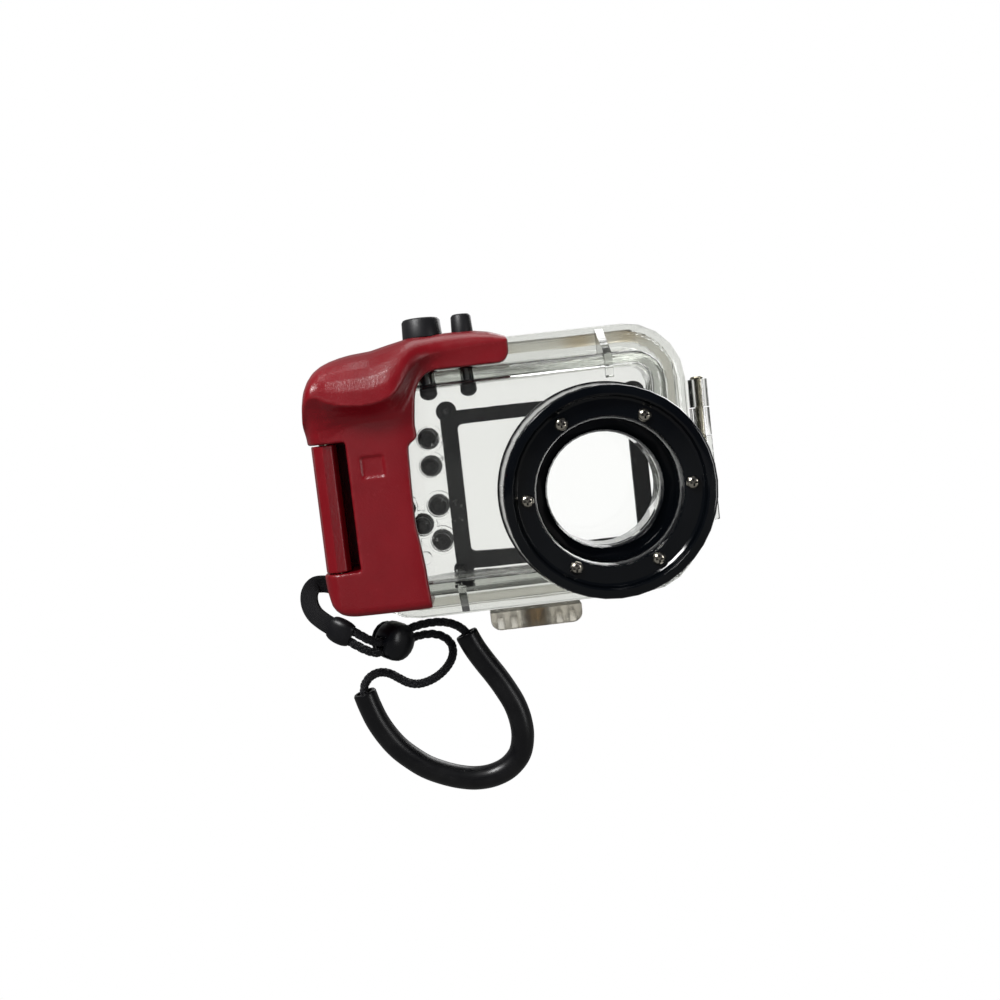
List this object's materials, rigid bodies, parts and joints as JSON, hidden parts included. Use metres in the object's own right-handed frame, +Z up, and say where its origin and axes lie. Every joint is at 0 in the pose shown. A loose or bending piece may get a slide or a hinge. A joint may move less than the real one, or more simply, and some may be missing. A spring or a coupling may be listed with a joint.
{
  "type": "underwater camera housing",
  "caption": "Clear two-part waterproof case for a compact camera, with a screwed lens port, red side grip with latch, sprung push buttons, tripod foot and wrist lanyard",
  "frame": {"origin": "centre of the tripod foot's underside, at the mouth of its threaded insert", "axes": "+Z up, the lens port looks along -Y, the red grip is on the -X side and the door hinge on the +X side"},
  "size_m": [0.1269, 0.05, 0.1381],
  "materials": {
    "clear_shell": "clear moulded polycarbonate, polished",
    "clear_door": "clear moulded polycarbonate, polished",
    "clear_collar": "clear turned plastic with fine grooves",
    "frosted_foot": "cloudy clear plastic",
    "gasket": "translucent yellowish silicone",
    "gloss_black": "glossy black moulded plastic",
    "satin_black": "satin black plastic",
    "button_black": "satin black plastic",
    "lock_black": "smooth black plastic",
    "black_rubber": "matte black rubber",
    "tube_rubber": "glossy black soft tube",
    "red_plastic": "satin dark red moulded plastic",
    "steel": "stainless steel",
    "screw_steel": "polished stainless steel",
    "brass": "machined brass",
    "lens_glass": "clear flat glass",
    "webbing": "black woven strap",
    "braided_cord": "black braided cord"
  },
  "bodies": {
    "housing": {"front_shell": "clear_shell", "port_collar": "clear_collar", "hinge_pin": "steel", "port_bezel": "gloss_black", "port_gasket": "black_rubber", "port_glass": "lens_glass", "glass_o_ring": "black_rubber", "grip_cover": "red_plastic", "latch_pin": "steel", "shutter_spring": "steel", "shutter_o_ring": "black_rubber", "power_spring": "steel", "power_o_ring": "black_rubber", "tripod_foot": "frosted_foot", "tripod_insert": "brass", "lanyard_strap": "webbing", "lanyard_cord_near": "braided_cord", "lanyard_cord_far": "braided_cord", "wrist_tube": "tube_rubber", "cord_lock": "lock_black", "port_screw_1": "screw_steel", "port_screw_2": "screw_steel", "port_screw_3": "screw_steel", "port_screw_4": "screw_steel", "port_screw_5": "screw_steel", "port_screw_6": "screw_steel"},
    "door": {"rear_door": "clear_door", "door_gasket": "gasket", "lcd_frame": "satin_black"},
    "shutter": {"shutter_button": "button_black", "shutter_tip": "black_rubber"},
    "power": {"power_button": "button_black", "power_tip": "black_rubber"},
    "latch_lever": {"latch": "red_plastic"},
    "lock_plunger": {"cord_lock_plunger": "lock_black"},
    "rear_key_1": {"rear_button_1": "button_black", "rear_tip_1": "black_rubber"},
    "rear_key_2": {"rear_button_2": "button_black", "rear_tip_2": "black_rubber"},
    "rear_key_3": {"rear_button_3": "button_black", "rear_tip_3": "black_rubber"},
    "rear_key_4": {"rear_button_4": "button_black", "rear_tip_4": "black_rubber"},
    "rear_key_5": {"rear_button_5": "button_black", "rear_tip_5": "black_rubber"},
    "rear_key_6": {"rear_button_6": "button_black", "rear_tip_6": "black_rubber"},
    "rear_key_7": {"rear_button_7": "button_black", "rear_tip_7": "black_rubber"}
  },
  "joints": [
    {"name": "door_hinge", "type": "hinge", "parent": "housing", "child": "door", "pos_m": [0.0553, -0.00085, 0.045], "axis": [0, 0, -1], "range_deg": [0, 150]},
    {"name": "latch_hinge", "type": "hinge", "parent": "housing", "child": "latch_lever", "pos_m": [-0.0536, -0.022, 0.042], "axis": [0, 0, 1], "range_deg": [0, 100]},
    {"name": "shutter_press", "type": "slide", "parent": "housing", "child": "shutter", "axis": [0, 0, -1], "range_m": [0, 0.002], "stiffness_N_per_m": 400, "springref_m": -0.002, "deforming": ["shutter_spring"]},
    {"name": "power_press", "type": "slide", "parent": "housing", "child": "power", "axis": [0, 0, -1], "range_m": [0, 0.002], "stiffness_N_per_m": 400, "springref_m": -0.002, "deforming": ["power_spring"]},
    {"name": "rear_press_1", "type": "slide", "parent": "door", "child": "rear_key_1", "axis": [0, -1, 0], "range_m": [0, 0.0014], "stiffness_N_per_m": 400, "springref_m": -0.002},
    {"name": "rear_press_2", "type": "slide", "parent": "door", "child": "rear_key_2", "axis": [0, -1, 0], "range_m": [0, 0.0014], "stiffness_N_per_m": 400, "springref_m": -0.002},
    {"name": "rear_press_3", "type": "slide", "parent": "door", "child": "rear_key_3", "axis": [0, -1, 0], "range_m": [0, 0.0014], "stiffness_N_per_m": 400, "springref_m": -0.002},
    {"name": "rear_press_4", "type": "slide", "parent": "door", "child": "rear_key_4", "axis": [0, -1, 0], "range_m": [0, 0.0014], "stiffness_N_per_m": 400, "springref_m": -0.002},
    {"name": "rear_press_5", "type": "slide", "parent": "door", "child": "rear_key_5", "axis": [0, -1, 0], "range_m": [0, 0.0014], "stiffness_N_per_m": 400, "springref_m": -0.002},
    {"name": "rear_press_6", "type": "slide", "parent": "door", "child": "rear_key_6", "axis": [0, -1, 0], "range_m": [0, 0.0014], "stiffness_N_per_m": 400, "springref_m": -0.002},
    {"name": "rear_press_7", "type": "slide", "parent": "door", "child": "rear_key_7", "axis": [0, -1, 0], "range_m": [0, 0.0014], "stiffness_N_per_m": 400, "springref_m": -0.002},
    {"name": "lock_press", "type": "slide", "parent": "housing", "child": "lock_plunger", "axis": [0.6816, -0.7171, -0.1454], "range_m": [0, 0.0008], "stiffness_N_per_m": 900, "springref_m": -0.001}
  ]
}
